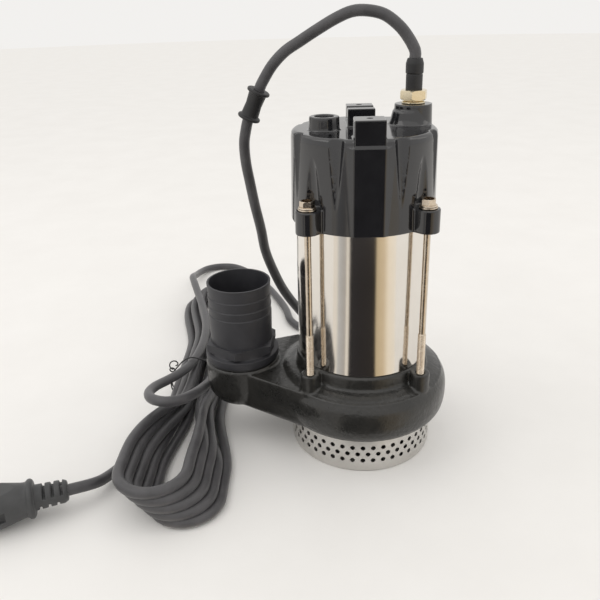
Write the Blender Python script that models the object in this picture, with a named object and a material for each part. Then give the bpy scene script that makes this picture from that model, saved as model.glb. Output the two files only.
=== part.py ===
"""Submersible sump pump: a vertical motor over a cast volute, standing on a perforated strainer.

The origin is on the motor's axis at the strainer's flat bottom, +Z points up and the
discharge stands on the -X side. Dimensions are in millimetres and MM turns them into metres.
"""
import math

import bmesh
import bpy
from mathutils import Matrix, Vector

MM = 0.001
GAP = 0.3                   # clearance between pieces that touch
ROUND = 36                  # sides of the large turned pieces
HIDDEN = 24                 # sides of the turned pieces inside the motor
SMALL = 16                  # sides of the small turned pieces

# Strainer basket
STRAINER_R = 71.0
STRAINER_WALL = 1.2
STRAINER_TOP = 37.7
STRAINER_FLOOR = 3.0
HOLE_COUNT = 45
HOLE_R = 2.5
HOLE_ROWS = (13.0, 20.0, 27.0)
ROW_HALF = 3.5

# Suction cover, carried on posts above the strainer's floor
COVER_R = 65.7
COVER_BOTTOM = 38.3
COVER_TOP = 43.7
SUCTION_R = 22.0
POST_R = 6.0
POST_CIRCLE = 48.0
POST_COUNT = 3
SCREW_R = 2.2
SCREW_HEAD_R = 4.6

# Volute casing and its discharge
VOLUTE_R = 85.6
VOLUTE_BOTTOM = 38.0
COLLAR_R = 65.0
COLLAR_TOP = 100.0
NECK_R = 27.0                # half width of the neck at the outlet
NECK_TOP = 81.0
CHAMBER_R = 58.0
CHAMBER_BOTTOM = 44.0
CHAMBER_TOP = 74.0
RECESS_R = 56.0
RECESS_BOTTOM = 80.0
SEAL_BORE_R = 18.0
OUTLET_X = -122.0
OUTLET_Y = 13.0
OUTLET_R = 38.0
OUTLET_BOTTOM = 42.0
OUTLET_TOP = 84.0
SPIGOT_BORE_R = 30.0

# Hose connector
HOSE_BORE_R = 27.5
HOSE_MOUTH_R = 29.8
HOSE_R = 32.0
HOSE_TOP = 168.0
HEX_BOTTOM = 95.5
HEX_TOP = 105.5
GASKET_TOP = 86.0

# Tie bolts
BOLT_CIRCLE = 73.0
BOLT_ANGLES = (45.0, 135.0, 225.0, 315.0)
THREAD_R = 3.7
SHANK_R = 3.0
BOLT_HOLE_R = 4.2
BOSS_R = 9.0
EAR_R = 10.5
EAR_TOP = 259.0
THREAD_LENGTH = 54.0

# Motor barrel and cap
BARREL_R = 62.5
BARREL_BORE_R = 61.0
BARREL_TOP = 237.7
CAP_R = 66.5
CAP_BOTTOM = 238.0
CAP_SHOULDER = 314.0
CAP_TOP = 320.0
CAP_FLAT_R = 60.5
FLUTE_ANGLE = 24.5           # each side of the four faces between the ears
FLUTE_LOW_R = 1.7            # the flutes start as a point and widen upwards
FLUTE_HIGH_R = 8.2
CAP_BORE_R = 58.0
LUG_TOP = 336.0
GLAND_X = 45.5
GLAND_Y = 15.0
GLAND_TOP = 337.5
VENT_X = -35.5
VENT_Y = -11.0
VENT_TOP = 332.0

# Rotor and bearings
SHAFT_R = 10.0
LOWER_RACE_R = 23.5
UPPER_RACE_R = 20.0
UPPER_SHAFT_R = 8.5
IMPELLER_R = 47.0
ROTOR_R = 29.5
STATOR_BORE_R = 30.4
CORE_BOTTOM = 128.0
CORE_TOP = 198.0

# Supply cord
CORD_R = 5.2
CORD_STEP = 26.0
END_STRAIGHT = 4.0          # straight run at each end of a stretch, square to its neighbour
HANK_X = -180.0
HANK_FRONT = -147.5
HANK_BACK = 352.0
HANK_FRONT_HALF = 50.5      # half widths at the front loops, the waist and the back loops
HANK_WAIST_HALF = 34.0
HANK_BACK_HALF = 57.5
HANK_STACK = 45.5           # top of the fanned front loops
HANK_LAYERS = 31.7          # top of the three layers from the waist on
HANK_FRONT_CURVE = 67.0      # reach of the front bends, where the narrowing starts
HANK_BLEND = 100.0          # lengths over which the front and the back narrow to the waist
HANK_BACK_BLEND = 130.0
HANK_FALL_Y = -34.0         # where the top starts to come down, and over what length
HANK_FALL = 45.0
HANK_LIFT = 2.4             # room for the tie to pass beneath
TIE_Y = 75.0
TIE_REACH = 4.0
SLEEVE_TOP = 376.5
PLUG_HEADING = math.radians(200.0)
PLUG_Z = 20.5

# The cord's route, strand by strand, as x, y, z
ARCH_ROUTE = [
    (45.5, 15, 376.8), (45.2, 15.3, 383), (39, 17, 394), (30.5, 18.5, 404), (18, 20, 413),
    (3.5, 22, 416.5), (-10, 23.5, 416), (-25, 25, 410), (-42, 27, 400.5), (-56, 29, 392),
    (-69.5, 31, 383.5), (-81.5, 33, 371.5), (-91, 34.5, 357), (-94.3, 35.2, 350.3),
]
FALL_ROUTE = [
    (-106.2, 37.8, 322.8), (-109, 39, 313), (-111.6, 42, 299), (-111.4, 46, 280), (-109, 51, 259),
    (-105.5, 56, 233), (-101, 63, 205), (-98, 71, 178), (-91, 79, 152), (-81, 89, 124),
    (-67, 100, 97), (-47, 111, 66), (-24, 123, 36), (4, 137, 14), (33, 156, 6), (50, 186, 5.3),
    (38, 218, 5.3), (8, 230, 5.3), (-28, 224, 5.3), (-60, 224, 5.3), (-79, 247, 5.3),
    (-89, 290, 5.3), (-110, 348, 5.3), (-137, 405, 5.3), (-160, 438, 5.3), (-183, 458, 5.3),
    (-207, 460, 5.5), (-225, 448, 7), (-234, 426, 10), (-237, 398, 16), (-235.5, 369, 26),
    (-231.5, 339, 35.8), (-224, 310, 38.6), (-215, 280, 38.3), (-203, 240, 38.2), (-192, 198, 38),
    (-185, 157, 38), (-184, 115, 37.8), (-189, 77, 38), (-198, 50, 40.5), (-208, 28, 44.5),
    (-216, 6, 50.5), (-217.5, -15, 56), (-210, -33, 60.5), (-195, -42, 63), (-180, -38, 62.5),
    (-169.5, -22, 59), (-165, -1, 52), (-162, 22, 44.5), (-160.8, 44, 39.4), (-160, 62, 37.5),
]
LEAD_ROUTE = [
    (-230, -32, 5.3), (-233.5, -50, 5.6), (-238.5, -69, 7), (-245, -87, 10.5), (-252, -103, 16),
    (-260.5, -113.5, 20.3), (-271, -117.5, 20.5),
]


def clear_scene():
    for item in list(bpy.data.objects):
        bpy.data.objects.remove(item, do_unlink=True)


def material(name, color, roughness, metallic=0.0):
    mat = bpy.data.materials.new(name)
    mat.use_nodes = True
    shader = mat.node_tree.nodes["Principled BSDF"]
    shader.inputs["Base Color"].default_value = (*color, 1.0)
    shader.inputs["Roughness"].default_value = roughness
    shader.inputs["Metallic"].default_value = metallic
    return mat


def finish_mesh(bm, name):
    """Weld, turn the faces outwards, scale to metres and return a mesh."""
    bmesh.ops.remove_doubles(bm, verts=bm.verts, dist=0.001)
    bmesh.ops.recalc_face_normals(bm, faces=bm.faces)
    bmesh.ops.scale(bm, vec=(MM, MM, MM), verts=bm.verts)
    mesh = bpy.data.meshes.new(name)
    bm.to_mesh(mesh)
    bm.free()
    return mesh


def place(name, bm, mat, location=(0.0, 0.0, 0.0), rotation=(0.0, 0.0, 0.0), parent=None):
    obj = bpy.data.objects.new(name, finish_mesh(bm, name))
    obj.location = Vector(location) * MM
    obj.rotation_euler = rotation
    obj.parent = parent
    obj.data.materials.append(mat)
    obj.data.shade_smooth()
    obj.data.set_sharp_from_angle(angle=math.radians(32))
    bpy.context.collection.objects.link(obj)
    return obj


def ring_points(radius, z, sides, phase=0.0):
    step = 2 * math.pi / sides
    return [
        Vector((radius * math.cos(phase + i * step), radius * math.sin(phase + i * step), z))
        for i in range(sides)
    ]


def turned(profile, sides=ROUND, phase=0.0):
    """Solid of revolution of a closed (radius, z) outline about Z."""
    bm = bmesh.new()
    rings = []
    for radius, z in profile:
        if radius < 0.001:
            rings.append([bm.verts.new((0, 0, z))])
        else:
            rings.append([bm.verts.new(p) for p in ring_points(radius, z, sides, phase)])
    for ring, following in zip(rings, rings[1:] + rings[:1]):
        for i in range(sides):
            j = (i + 1) % sides
            corners = [ring[i % len(ring)], ring[j % len(ring)]]
            corners += [following[j % len(following)], following[i % len(following)]]
            unique = list(dict.fromkeys(corners))
            if len(unique) > 2:
                bm.faces.new(unique)
    return bm


def tube(inner, outer, bottom, top, sides=ROUND, phase=0.0):
    return turned([(inner, bottom), (outer, bottom), (outer, top), (inner, top)], sides, phase)


def disc(radius, bottom, top, sides=ROUND, phase=0.0):
    return turned([(0, bottom), (radius, bottom), (radius, top), (0, top)], sides, phase)


def prism(outline, bottom, top):
    bm = bmesh.new()
    low = [bm.verts.new((x, y, bottom)) for x, y in outline]
    high = [bm.verts.new((x, y, top)) for x, y in outline]
    count = len(outline)
    for i in range(count):
        j = (i + 1) % count
        bm.faces.new((low[i], low[j], high[j], high[i]))
    bm.faces.new(low[::-1])
    bm.faces.new(high)
    return bm


def box(x0, x1, y0, y1, z0, z1):
    return prism([(x0, y0), (x1, y0), (x1, y1), (x0, y1)], z0, z1)


def moved(bm, x=0.0, y=0.0, z=0.0):
    bmesh.ops.translate(bm, vec=(x, y, z), verts=bm.verts)
    return bm


def chamfered(bm, width, level):
    """Bevel the edges that lie in the horizontal plane at a level."""
    edges = [e for e in bm.edges if all(abs(v.co.z - level) < 0.01 for v in e.verts)]
    bmesh.ops.bevel(bm, geom=edges, offset=width, segments=1, affect="EDGES")
    return bm


def combine(bm, other, operation):
    """Boolean of two closed meshes; returns the result and frees both."""
    objects = []
    for part in (bm, other):
        bmesh.ops.recalc_face_normals(part, faces=part.faces)
        mesh = bpy.data.meshes.new("operand")
        part.to_mesh(mesh)
        part.free()
        operand = bpy.data.objects.new("operand", mesh)
        bpy.context.collection.objects.link(operand)
        objects.append(operand)
    modifier = objects[0].modifiers.new("cut", "BOOLEAN")
    modifier.object = objects[1]
    modifier.operation = operation
    modifier.solver = "EXACT"
    evaluated = objects[0].evaluated_get(bpy.context.evaluated_depsgraph_get())
    result = bmesh.new()
    result.from_mesh(evaluated.to_mesh())
    evaluated.to_mesh_clear()
    for operand in objects:
        bpy.data.objects.remove(operand, do_unlink=True)
    bmesh.ops.dissolve_degenerate(result, edges=result.edges, dist=0.002)
    return result


def joined(bm, *others):
    for other in others:
        bm = combine(bm, other, "UNION")
    return bm


def cut(bm, *cutters):
    for cutter in cutters:
        bm = combine(bm, cutter, "DIFFERENCE")
    return bm


def polar(radius, degrees):
    angle = math.radians(degrees)
    return radius * math.cos(angle), radius * math.sin(angle)


def bolt_places():
    return [polar(BOLT_CIRCLE, degrees) for degrees in BOLT_ANGLES]


def hull_outline(main_radius, end_radius, steps=9):
    """Outline of the round casing drawn out to the discharge: two arcs and their tangents."""
    distance = math.hypot(OUTLET_X, OUTLET_Y)
    toward = math.atan2(OUTLET_Y, OUTLET_X)
    spread = math.acos((main_radius - end_radius) / distance)
    outline = []
    for i in range(2 * steps + 1):
        angle = toward + spread + (2 * math.pi - 2 * spread) * i / (2 * steps)
        outline.append((main_radius * math.cos(angle), main_radius * math.sin(angle)))
    for i in range(steps + 1):
        angle = toward - spread + 2 * spread * i / steps
        x = OUTLET_X + end_radius * math.cos(angle)
        outline.append((x, OUTLET_Y + end_radius * math.sin(angle)))
    return outline


# Pump end

def strainer(mat):
    """Perforated basket: staggered rows of four-sided holes between plain bands."""
    bm = bmesh.new()
    columns = 2 * HOLE_COUNT
    step = 2 * math.pi / columns

    def wall_ring(radius, z):
        return [bm.verts.new(p) for p in ring_points(radius, z, columns)]

    levels = [HOLE_ROWS[0] - ROW_HALF] + [z + ROW_HALF for z in HOLE_ROWS]
    radii = (STRAINER_R, STRAINER_R - STRAINER_WALL)
    edges = [[wall_ring(radius, z) for z in levels] for radius in radii]
    for row, height in enumerate(HOLE_ROWS):
        for hole in range(HOLE_COUNT):
            first = 2 * hole + row % 2
            middle = (first + 1) * step
            rims = []
            for radius, rings in zip(radii, edges):
                low = rings[row]
                high = rings[row + 1]
                frame = [low[(first + i) % columns] for i in range(3)]
                frame += [high[(first + i) % columns] for i in (2, 1, 0)]
                rim = []
                for turn in (math.pi, -math.pi / 2, 0, math.pi / 2):
                    angle = middle + HOLE_R * math.cos(turn) / radius
                    z = height + HOLE_R * math.sin(turn)
                    rim.append(bm.verts.new((radius * math.cos(angle), radius * math.sin(angle), z)))
                left, bottom, right, top = rim
                bm.faces.new((frame[0], frame[1], bottom, left))
                bm.faces.new((frame[1], frame[2], right, bottom))
                bm.faces.new((frame[2], frame[3], right))
                bm.faces.new((frame[3], frame[4], top, right))
                bm.faces.new((frame[4], frame[5], left, top))
                bm.faces.new((frame[5], frame[0], left))
                rims.append(rim)
            for i in range(4):
                j = (i + 1) % 4
                bm.faces.new((rims[0][i], rims[0][j], rims[1][j], rims[1][i]))

    def bridge(ring, following):
        for i in range(columns):
            j = (i + 1) % columns
            bm.faces.new((ring[i], ring[j], following[j], following[i]))

    outer_top = wall_ring(radii[0], STRAINER_TOP)
    inner_top = wall_ring(radii[1], STRAINER_TOP)
    outer_low = wall_ring(radii[0], 0)
    inner_low = wall_ring(radii[1], STRAINER_FLOOR)
    bridge(edges[0][-1], outer_top)
    bridge(outer_top, inner_top)
    bridge(inner_top, edges[1][-1])
    bridge(outer_low, edges[0][0])
    bridge(edges[1][0], inner_low)
    bm.faces.new(outer_low[::-1])
    bm.faces.new(inner_low)
    screw_hole = [(0, -1), (SCREW_HEAD_R + 0.5, -1), (SCREW_HEAD_R + 0.5, 1.8)]
    screw_hole += [(SCREW_R + 0.5, 1.8), (SCREW_R + 0.5, STRAINER_FLOOR + 1), (0, STRAINER_FLOOR + 1)]
    for x, y in post_places():
        bm = cut(bm, moved(turned(screw_hole, 12), x, y))
    place("strainer", bm, mat)


def post_places():
    return [polar(POST_CIRCLE, 30 + 120 * i) for i in range(POST_COUNT)]


def suction_cover(mat):
    """Cast cover with the suction eye, on posts that stand on the strainer's floor."""
    bm = turned([
        (SUCTION_R, COVER_BOTTOM - 3), (SUCTION_R + 5, COVER_BOTTOM - 3), (SUCTION_R + 8, COVER_BOTTOM),
        (COVER_R, COVER_BOTTOM), (COVER_R, COVER_TOP), (SUCTION_R + 3, COVER_TOP), (SUCTION_R, COVER_TOP - 2),
    ])
    for x, y in post_places():
        bm = joined(bm, moved(disc(POST_R, STRAINER_FLOOR + GAP, COVER_BOTTOM + 1, 12), x, y))
    for x, y in post_places():
        bm = cut(bm, moved(disc(SCREW_R + GAP, 0, 16, 12), x, y))
    place("suction_cover", bm, mat)


def strainer_screws(mat):
    profile = [(0, 0.3), (SCREW_HEAD_R, 0.3), (SCREW_HEAD_R, 1.5), (SCREW_R, 1.5), (SCREW_R, 14), (0, 14)]
    for number, (x, y) in enumerate(post_places(), 1):
        place(f"strainer_screw_{number}", turned(profile, 12), mat, (x, y, 0))


def volute_casing(mat):
    """Cast scroll, drawn out to the discharge, with the motor's collar and four bolt bosses."""
    bm = turned([
        (0, VOLUTE_BOTTOM), (75.5, VOLUTE_BOTTOM), (80, 41), (83.5, 46), (VOLUTE_R - 0.2, 55),
        (VOLUTE_R, 66), (VOLUTE_R - 1, 73), (81.5, 79), (77, 82.5), (72, 84.5), (COLLAR_R + 1, 86),
        (COLLAR_R, 88),
        (COLLAR_R, COLLAR_TOP), (0, COLLAR_TOP),
    ])
    neck = prism(hull_outline(81.0, NECK_R), OUTLET_BOTTOM - 1.5, NECK_TOP)
    neck = chamfered(chamfered(neck, 14, NECK_TOP), 6, OUTLET_BOTTOM - 1.5)
    outlet = turned([
        (0, OUTLET_BOTTOM - 3), (24, OUTLET_BOTTOM - 3), (31, OUTLET_BOTTOM), (36, OUTLET_BOTTOM + 7),
        (OUTLET_R, OUTLET_BOTTOM + 16), (OUTLET_R, OUTLET_TOP), (0, OUTLET_TOP),
    ], 40)
    bm = joined(bm, neck, moved(outlet, OUTLET_X, OUTLET_Y))
    for x, y in bolt_places():
        bm = joined(bm, moved(disc(BOSS_R, RECESS_BOTTOM + 1, COLLAR_TOP - 1, 16), x, y))
    bm = cut(bm, disc(COVER_R + GAP, VOLUTE_BOTTOM - 5, CHAMBER_BOTTOM))
    bm = cut(bm, disc(CHAMBER_R, VOLUTE_BOTTOM - 1, CHAMBER_TOP))
    bm = cut(bm, prism(hull_outline(CHAMBER_R - 0.5, 25.0), CHAMBER_BOTTOM + 5, CHAMBER_TOP - 7))
    bm = cut(bm, moved(disc(SPIGOT_BORE_R, CHAMBER_TOP - 9, OUTLET_TOP + 5, 40), OUTLET_X, OUTLET_Y))
    bm = cut(bm, disc(RECESS_R, RECESS_BOTTOM, COLLAR_TOP + 5))
    bm = cut(bm, disc(SEAL_BORE_R, CHAMBER_TOP - 5, RECESS_BOTTOM + 5))
    for x, y in bolt_places():
        bm = cut(bm, moved(disc(BOLT_HOLE_R, RECESS_BOTTOM + 3, COLLAR_TOP + 5, 12), x, y))
    place("volute_casing", bm, mat)


def impeller(mat, parent):
    """Semi-open impeller: a back plate, a hub and five swept vanes that face down."""
    bm = turned([(7.3, 50), (13, 50), (13, 67), (IMPELLER_R, 67), (IMPELLER_R, 70), (15, 72), (7.3, 72)], 40)
    vanes = 5
    for vane in range(vanes):
        outer_side = []
        inner_side = []
        for i in range(7):
            radius = 11.5 + (IMPELLER_R - 12.5) * i / 6
            angle = 360 * vane / vanes - 75 * (i / 6) ** 0.8
            half = math.degrees(1.5 / radius)
            outer_side.append(polar(radius, angle + half))
            inner_side.append(polar(radius, angle - half))
        bm = joined(bm, prism(inner_side + outer_side[::-1], 52, 68))
    place("impeller", bm, mat, parent=parent)


def impeller_nut(mat, parent):
    bm = turned([(7.1, 44.5), (8.7, 44.5), (9.5, 45.5), (9.5, 49.6), (7.1, 49.6)], 6)
    place("impeller_nut", bm, mat, parent=parent)


def mechanical_seal(ceramic, steel, parent):
    seat = turned([(11, 74.5), (SEAL_BORE_R - GAP, 74.5), (SEAL_BORE_R - GAP, 79.7), (11, 79.7)], HIDDEN)
    place("seal_seat", seat, ceramic)
    bellows = turned([
        (SHAFT_R + GAP, 80.1), (14, 80.1), (15.5, 81.5), (15.5, 84), (13.5, 85), (15, 86.5),
        (15, 88.5), (SHAFT_R + GAP, 88.5),
    ], HIDDEN)
    place("seal_rotating_ring", bellows, steel, parent=parent)


# Motor

def bearing_bracket(mat):
    """Oil chamber that carries the lower bearing and centres the barrel."""
    bm = turned([
        (22, RECESS_BOTTOM + GAP), (26, RECESS_BOTTOM + GAP), (28, 90), (50, 90),
        (52, RECESS_BOTTOM + GAP), (RECESS_R - GAP, RECESS_BOTTOM + GAP),
        (RECESS_R - GAP, COLLAR_TOP + GAP), (60.6, COLLAR_TOP + GAP), (60.6, 102.5), (58, 102.5),
        (58, 105.5), (60.6, 105.5), (60.6, 108), (LOWER_RACE_R + GAP, 108), (LOWER_RACE_R + GAP, 94),
        (12, 94), (12, 90), (22, 90),
    ], HIDDEN + 4)
    place("bearing_bracket", bm, mat)


def o_ring(name, groove_r, z, mat):
    """Round-section ring in a groove 3 mm high, just proud of the spigot."""
    section = 1.25
    centre = groove_r + GAP + section
    points = [
        (centre + section * math.cos(turn * math.pi / 3), z + section * math.sin(turn * math.pi / 3))
        for turn in range(6)
    ]
    place(name, turned(points, HIDDEN + 4), mat)


def bearing(name, shaft_r, race_r, bottom, width, steel, parent):
    """Deep-groove bearing as two races: the outer one stands, the inner one turns."""
    top = bottom + width
    mid = (shaft_r + race_r) / 2
    outer = tube(mid + 1.2, race_r, bottom, top, HIDDEN)
    place(name + "_outer_race", outer, steel)
    inner = tube(shaft_r + GAP, mid - 1.2, bottom, top, HIDDEN)
    place(name + "_inner_race", inner, steel, parent=parent)


def shaft(mat, parent):
    bm = turned([
        (0, 42.5), (5, 42.5), (5.8, 43.3), (5.8, 49.8), (7, 49.8), (7, 72.4), (SHAFT_R, 72.4),
        (SHAFT_R, 93.4), (11.5, 93.4), (11.5, 93.9), (SHAFT_R, 93.9), (SHAFT_R, 220),
        (UPPER_SHAFT_R, 220), (UPPER_SHAFT_R, 235), (0, 235),
    ], HIDDEN)
    place("shaft", bm, mat, parent=parent)


def rotor_core(mat, parent):
    bm = turned([
        (SHAFT_R + GAP, CORE_BOTTOM - 6), (26, CORE_BOTTOM - 6), (27, CORE_BOTTOM), (ROTOR_R, CORE_BOTTOM),
        (ROTOR_R, CORE_TOP), (27, CORE_TOP), (26, CORE_TOP + 6), (SHAFT_R + GAP, CORE_TOP + 6),
    ], HIDDEN)
    place("rotor_core", bm, mat, parent=parent)


def stator(iron, copper):
    place("stator_core", tube(STATOR_BORE_R, BARREL_BORE_R - 0.4, CORE_BOTTOM, CORE_TOP), iron)
    for name, bottom, top in (
        ("stator_winding_lower", CORE_BOTTOM - 16, CORE_BOTTOM - GAP),
        ("stator_winding_upper", CORE_TOP + GAP, CORE_TOP + 16),
    ):
        ring = turned([
            (35, bottom + 3), (38, bottom), (52, bottom), (55, bottom + 3), (55, top - 3), (52, top),
            (38, top), (35, top - 3),
        ], HIDDEN)
        place(name, ring, copper)


def motor_barrel(mat):
    place("motor_barrel", tube(BARREL_BORE_R, BARREL_R, COLLAR_TOP + GAP, BARREL_TOP, 48), mat)


def upper_bracket(mat):
    """Plate in the barrel's mouth that holds the upper bearing."""
    bm = turned([
        (UPPER_RACE_R + GAP, 222), (25, 222), (27, 228), (56, 228), (56, 220), (60.6, 220), (60.6, 226),
        (58, 226), (58, 229), (60.6, 229), (60.6, 237), (0, 237), (0, 236), (UPPER_RACE_R - 3, 236),
        (UPPER_RACE_R - 3, 234.5), (UPPER_RACE_R + GAP, 234.5),
    ], HIDDEN + 4)
    place("upper_bracket", bm, mat)


def top_cap(mat):
    """Cap with bolt ears, spanner clearances above them, flutes, lugs and two bosses."""
    bm = turned([
        (0, CAP_BOTTOM), (CAP_R, CAP_BOTTOM), (CAP_R - 1.2, CAP_SHOULDER), (CAP_R - 2.7, CAP_TOP - 2),
        (CAP_FLAT_R, CAP_TOP), (0, CAP_TOP),
    ], 48)
    pad = prism([(-12.5, -66.5), (13, -66.5), (20.5, -62.2), (20.5, -58), (-20, -58), (-20, -62.2)],
                CAP_BOTTOM, CAP_SHOULDER)
    bm = joined(bm, pad)
    clearance = [(0, EAR_TOP), (13, EAR_TOP), (11.5, 266), (7, 307), (0, 307)]
    for x, y in bolt_places():
        bm = cut(bm, moved(turned(clearance, 16), x, y))
    flute = [(0, CAP_BOTTOM + 20), (FLUTE_LOW_R, CAP_BOTTOM + 20), (FLUTE_HIGH_R, CAP_TOP + 2), (0, CAP_TOP + 2)]
    for degrees in range(0, 360, 90):
        for side in (-FLUTE_ANGLE, FLUTE_ANGLE):
            bm = cut(bm, moved(turned(flute, 14), *polar(CAP_R + 1.5, degrees + side)))
    front_lug = box(-12.5, 13, -66, -43.5, CAP_SHOULDER - 2, LUG_TOP)
    rear_lug = box(-14.5, 10, -3, 33, CAP_SHOULDER - 2, LUG_TOP)
    gland_boss = turned([
        (0, CAP_SHOULDER - 2), (17.6, CAP_SHOULDER - 2), (16.8, GLAND_TOP), (0, GLAND_TOP),
    ], 32)
    gland_skirt = turned([
        (0, CAP_SHOULDER - 2), (19.5, CAP_SHOULDER - 2), (19.5, CAP_TOP), (17.5, 324), (15.5, 332), (0, 332),
    ], 32)
    vent_boss = turned([
        (0, CAP_SHOULDER - 2), (13.6, CAP_SHOULDER - 2), (13.4, CAP_TOP + 1), (13, VENT_TOP), (0, VENT_TOP),
    ], 28)
    bm = joined(bm, front_lug, rear_lug, moved(gland_skirt, GLAND_X - 3, GLAND_Y - 2))
    bm = joined(bm, moved(gland_boss, GLAND_X, GLAND_Y), moved(vent_boss, VENT_X, VENT_Y))
    for (x, y), degrees in zip(bolt_places(), BOLT_ANGLES):
        rounded = [polar(EAR_R, -90 + 18 * i) for i in range(11)]
        ear = prism([(-20, -EAR_R)] + rounded + [(-20, EAR_R)], CAP_BOTTOM, EAR_TOP)
        bmesh.ops.rotate(ear, verts=ear.verts, matrix=Matrix.Rotation(math.radians(degrees), 3, "Z"))
        bm = joined(bm, moved(ear, x, y))
    bm = cut(bm, disc(CAP_BORE_R, CAP_BOTTOM - 5, CAP_SHOULDER - 4))
    bm = cut(bm, moved(disc(7.5, CAP_SHOULDER - 8, GLAND_TOP + 5, SMALL), GLAND_X, GLAND_Y))
    bm = cut(bm, moved(disc(8.5, CAP_TOP + 2, VENT_TOP + 5, SMALL), VENT_X, VENT_Y))
    for x, y in ((0.5, -54), (-2.5, 25)):
        bm = cut(bm, moved(disc(2.4, LUG_TOP - 9, LUG_TOP + 5, 10), x, y))
    bm = cut(bm, box(-17, 13, 7, 16, CAP_TOP + 6, LUG_TOP + 5))
    for x, y in bolt_places():
        bm = cut(bm, moved(disc(BOLT_HOLE_R, CAP_BOTTOM - 5, EAR_TOP + 5, 12), x, y))
    place("top_cap", bm, mat)


def vent_plug(mat):
    """Screw plug with a square socket, sunk in its boss."""
    bm = disc(8.2, CAP_TOP + 2.3, VENT_TOP - 1.5, SMALL)
    bm = cut(bm, box(-3.5, 3.5, -3.5, 3.5, CAP_TOP + 6, VENT_TOP + 2))
    place("vent_plug", bm, mat, (VENT_X, VENT_Y, 0))


def capacitor(mat):
    bm = turned([(0, 242), (17, 242), (18, 243), (18, 285), (15, 286), (15, 288), (0, 288)], 28)
    place("capacitor", bm, mat, (-20, 12, 0))


def tie_bolts(mat):
    """Long hexagon-head bolts with a turned flange and a thread at the lower end."""
    head_bottom = EAR_TOP + 2.0
    thread_top = RECESS_BOTTOM + 5 + THREAD_LENGTH
    for number, (x, y) in enumerate(bolt_places(), 1):
        rod = turned([
            (0, RECESS_BOTTOM + 4), (THREAD_R - 0.7, RECESS_BOTTOM + 4), (THREAD_R, RECESS_BOTTOM + 5),
            (THREAD_R, thread_top), (SHANK_R, thread_top + 1), (SHANK_R, head_bottom + 1), (0, head_bottom + 1),
        ], 12)
        head = turned([(0, head_bottom), (6.4, head_bottom), (7, 262), (7, 266.5), (6, 267.5), (0, 267.5)], 6)
        place(f"tie_bolt_{number}", joined(rod, head), mat, (x, y, 0))
        washer = tube(SHANK_R + 1.0, 8.0, EAR_TOP + GAP, head_bottom - GAP, SMALL)
        place(f"tie_bolt_washer_{number}", washer, mat, (x, y, 0))


# Discharge

def outlet_gasket(mat):
    ring = tube(SPIGOT_BORE_R + 1, OUTLET_R - 1, OUTLET_TOP + GAP, GASKET_TOP, 40)
    place("outlet_gasket", ring, mat, (OUTLET_X, OUTLET_Y, 0))


def hose_connector(mat):
    """Screwed spigot, collar, hexagon and a barbed tail in one moulding."""
    collar_bottom = GASKET_TOP + GAP
    bm = turned([
        (HOSE_BORE_R, CHAMBER_TOP - 5), (SPIGOT_BORE_R - GAP, CHAMBER_TOP - 5),
        (SPIGOT_BORE_R - GAP, collar_bottom), (OUTLET_R - 0.4, collar_bottom), (OUTLET_R - 0.4, 94),
        (33, HEX_BOTTOM), (31.2, HEX_TOP + 3), (HOSE_R, 136), (31.2, 136.5), (HOSE_R, 144.5), (31.2, 145),
        (HOSE_R, 155), (31.2, 155.5), (HOSE_R, HOSE_TOP), (HOSE_MOUTH_R, HOSE_TOP), (HOSE_MOUTH_R - 0.8, 112),
        (HOSE_BORE_R, HEX_TOP - 3),
    ], ROUND)
    hexagon = turned([
        (30, 93.5), (36.5, 93.5), (37.6, 95), (37.6, HEX_TOP - 1.5), (36, HEX_TOP), (30, HEX_TOP),
    ], 6, math.radians(-95))
    place("hose_connector", joined(bm, hexagon), mat, (OUTLET_X, OUTLET_Y, 0))


# Supply cord and what is on it

def gland(brass, rubber):
    """Brass gland: a screwed body with a hexagon, the clamping nut, and a rubber sleeve."""
    body = turned([
        (5.6, 316), (7.2, 316), (7.2, GLAND_TOP + GAP), (10.5, GLAND_TOP + GAP), (10.5, 340.6), (5.6, 340.6),
    ], SMALL)
    place("gland_body", body, brass, (GLAND_X, GLAND_Y, 0))
    nut = turned([(6.6, 341), (11.6, 341), (12.8, 342.2), (12.8, 348.2), (11.4, 349.4), (6.6, 349.4)], 6, 0.25)
    place("gland_nut", nut, brass, (GLAND_X, GLAND_Y, 0))
    sleeve = turned([
        (5.6, 349.8), (7.4, 349.8), (7.4, 363), (7.9, 364), (7.9, 375), (7.2, SLEEVE_TOP), (5.6, SLEEVE_TOP),
    ], SMALL)
    place("gland_sleeve", sleeve, rubber, (GLAND_X, GLAND_Y, 0))


def catmull(route, step):
    """Points about a step apart along a smooth curve through a route."""
    points = [Vector(p) for p in route]
    points = [2 * points[0] - points[1]] + points + [2 * points[-1] - points[-2]]
    fine = []
    for before, start, end, after in zip(points, points[1:], points[2:], points[3:]):
        for i in range(16):
            t = i / 16
            fine.append(0.5 * (
                2 * start + (end - before) * t + (2 * before - 5 * start + 4 * end - after) * t ** 2
                + (3 * start - before - 3 * end + after) * t ** 3
            ))
    fine.append(points[-2])
    total = sum((b - a).length for a, b in zip(fine, fine[1:]))
    count = max(2, round(total / step))
    wanted = [END_STRAIGHT] + [total * i / count for i in range(1, count)] + [total - END_STRAIGHT]
    picked = [fine[0]]
    travelled = 0.0
    for a, b in zip(fine, fine[1:]):
        travelled += (b - a).length
        if len(picked) <= len(wanted) and travelled >= wanted[len(picked) - 1]:
            picked.append(b)
    picked.append(fine[-1])
    return picked


def cord(name, route, mat):
    curve = bpy.data.curves.new(name, "CURVE")
    curve.dimensions = "3D"
    curve.bevel_depth = CORD_R * MM
    curve.bevel_resolution = 2
    curve.use_fill_caps = True
    points = catmull(route, CORD_STEP)
    spline = curve.splines.new("POLY")
    spline.points.add(len(points) - 1)
    for target, point in zip(spline.points, points):
        target.co = (*(point * MM), 1.0)
    obj = bpy.data.objects.new(name, curve)
    curve.materials.append(mat)
    bpy.context.collection.objects.link(obj)


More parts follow.
